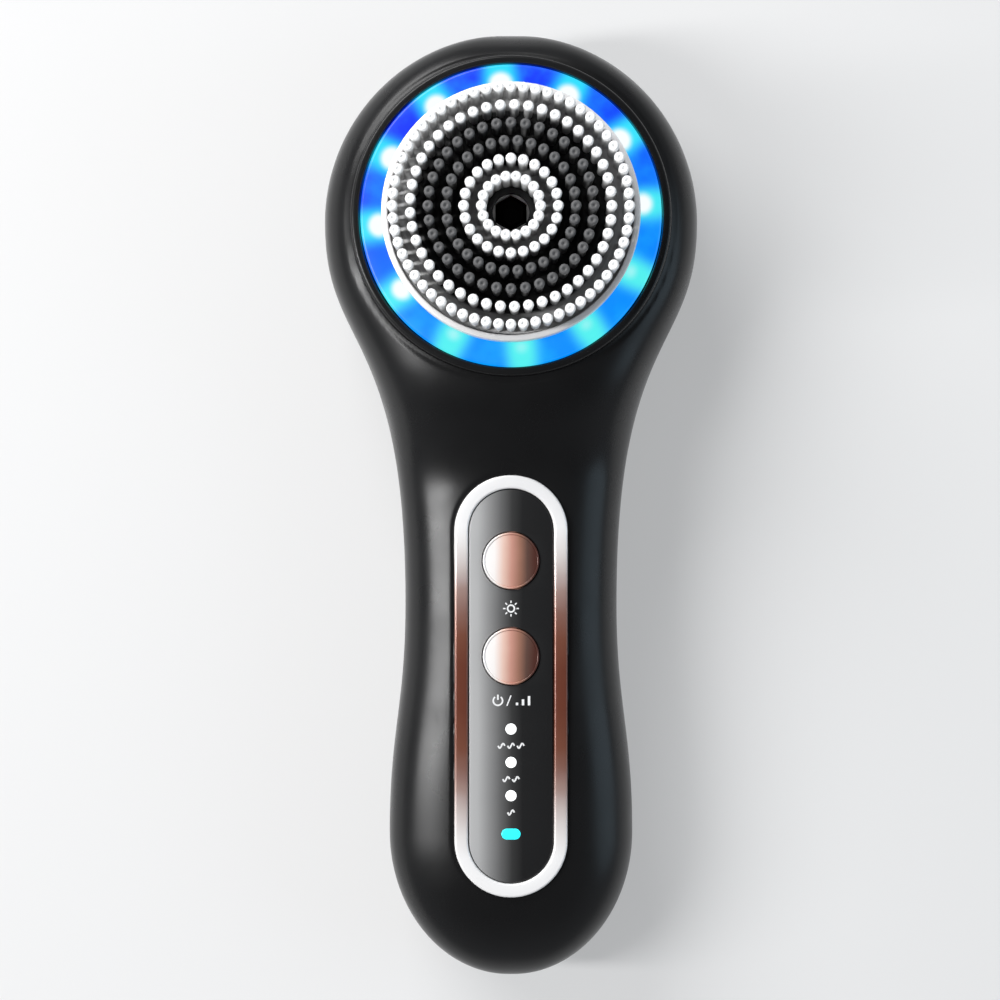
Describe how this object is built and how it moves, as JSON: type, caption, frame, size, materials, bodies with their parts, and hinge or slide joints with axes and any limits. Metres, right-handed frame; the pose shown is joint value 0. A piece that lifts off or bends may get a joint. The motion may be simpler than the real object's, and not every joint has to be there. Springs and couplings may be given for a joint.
{
  "type": "facial cleansing brush",
  "caption": "Handheld facial cleansing brush: round head with a spinning concentric bristle brush inside a lit ring, slim waisted handle with a push-button panel.",
  "frame": {"origin": "under the middle of the object, on the flat rear face that it rests on", "axes": "+Z from the rear face to the bristle tips, +Y from the handle's foot to the head, X across the width"},
  "size_m": [0.0692, 0.1748, 0.0534],
  "materials": {
    "black_shell": "satin gloss black ABS",
    "silicone": "matte dark silicone",
    "rose_gold": "polished rose gold plating",
    "panel_black": "satin dark panel",
    "white_lens": "translucent white light pipe",
    "cyan_lens": "translucent cyan light pipe",
    "black_fitting": "matte black plastic",
    "board_green": "solder-masked circuit board",
    "board_white": "white solder mask",
    "steel": "plain steel",
    "brass": "sintered bronze and brass",
    "copper": "copper windings",
    "ferrite": "dark ferrite",
    "battery_wrap": "blue shrink wrap over a steel can",
    "white_plastic": "white ABS",
    "gearbox_grey": "grey moulded nylon",
    "acetal": "natural acetal",
    "light_ring": "frosted ring lit blue",
    "white_bristle": "soft white filament tufts",
    "grey_bristle": "soft charcoal filament tufts"
  },
  "bodies": {
    "handle": {"front_shell": "black_shell", "rear_shell": "black_shell", "shell_gasket": "silicone", "panel_bezel": "rose_gold", "panel_plate": "panel_black", "mode_lens_1": "white_lens", "mode_lens_2": "white_lens", "mode_lens_3": "white_lens", "charge_lens": "cyan_lens", "button_membrane": "silicone", "light_switch": "black_fitting", "mode_switch": "black_fitting", "main_board": "board_green", "board_screw_1": "steel", "board_screw_2": "steel", "battery_cell": "battery_wrap", "battery_cradle": "black_fitting", "charging_coil": "copper", "ferrite_disc": "ferrite", "motor_can": "steel", "motor_end_cap": "white_plastic", "motor_magnet": "ferrite", "motor_screw_1": "steel", "motor_screw_2": "steel", "gearbox_base": "gearbox_grey", "gearbox_cover": "gearbox_grey", "idler_pin": "steel", "spindle_bearing_lower": "brass", "spindle_bearing_upper": "brass", "shaft_seal": "silicone", "gearbox_screw_1": "steel", "gearbox_screw_2": "steel", "gearbox_screw_3": "steel", "light_ring": "light_ring", "led_board": "board_white", "shell_screw_1": "steel", "screw_plug_1": "silicone", "shell_screw_2": "steel", "screw_plug_2": "silicone", "shell_screw_3": "steel", "screw_plug_3": "silicone", "shell_screw_4": "steel", "screw_plug_4": "silicone"},
    "spindle": {"drive_spindle": "steel", "output_gear": "acetal"},
    "brush_head": {"brush_cup": "white_plastic", "tuft_plate": "black_fitting", "bristle_row_1": "white_bristle", "bristle_row_2": "white_bristle", "bristle_row_3": "grey_bristle", "bristle_row_4": "grey_bristle", "bristle_row_5": "white_bristle", "bristle_row_6": "white_bristle"},
    "idler": {"compound_gear": "acetal"},
    "rotor": {"rotor_core": "copper", "motor_shaft": "steel", "motor_pinion": "brass"},
    "light_key": {"light_button": "rose_gold"},
    "mode_key": {"mode_button": "rose_gold"}
  },
  "joints": [
    {"name": "spindle_spin", "type": "hinge", "parent": "handle", "child": "spindle", "pos_m": [0, 0.0528, 0.03], "axis": [0, 0, 1], "continuous": true},
    {"name": "brush_pull_off", "type": "slide", "parent": "spindle", "child": "brush_head", "axis": [0, 0, 1], "range_m": [0, 0.02]},
    {"name": "idler_spin", "type": "hinge", "parent": "handle", "child": "idler", "pos_m": [0, 0.0398, 0.02], "axis": [0, 0, 1], "continuous": true},
    {"name": "rotor_spin", "type": "hinge", "parent": "handle", "child": "rotor", "pos_m": [0, 0.0278, 0.01], "axis": [0, 0, 1], "continuous": true},
    {"name": "light_button_press", "type": "slide", "parent": "handle", "child": "light_key", "axis": [0, 0, -1], "range_m": [0, 0.0008], "stiffness_N_per_m": 400},
    {"name": "mode_button_press", "type": "slide", "parent": "handle", "child": "mode_key", "axis": [0, 0, -1], "range_m": [0, 0.0008], "stiffness_N_per_m": 400}
  ],
  "couplings": [
    {"joint": "idler_spin", "follows": "spindle_spin", "ratio": -3.3333},
    {"joint": "rotor_spin", "follows": "spindle_spin", "ratio": 10}
  ]
}
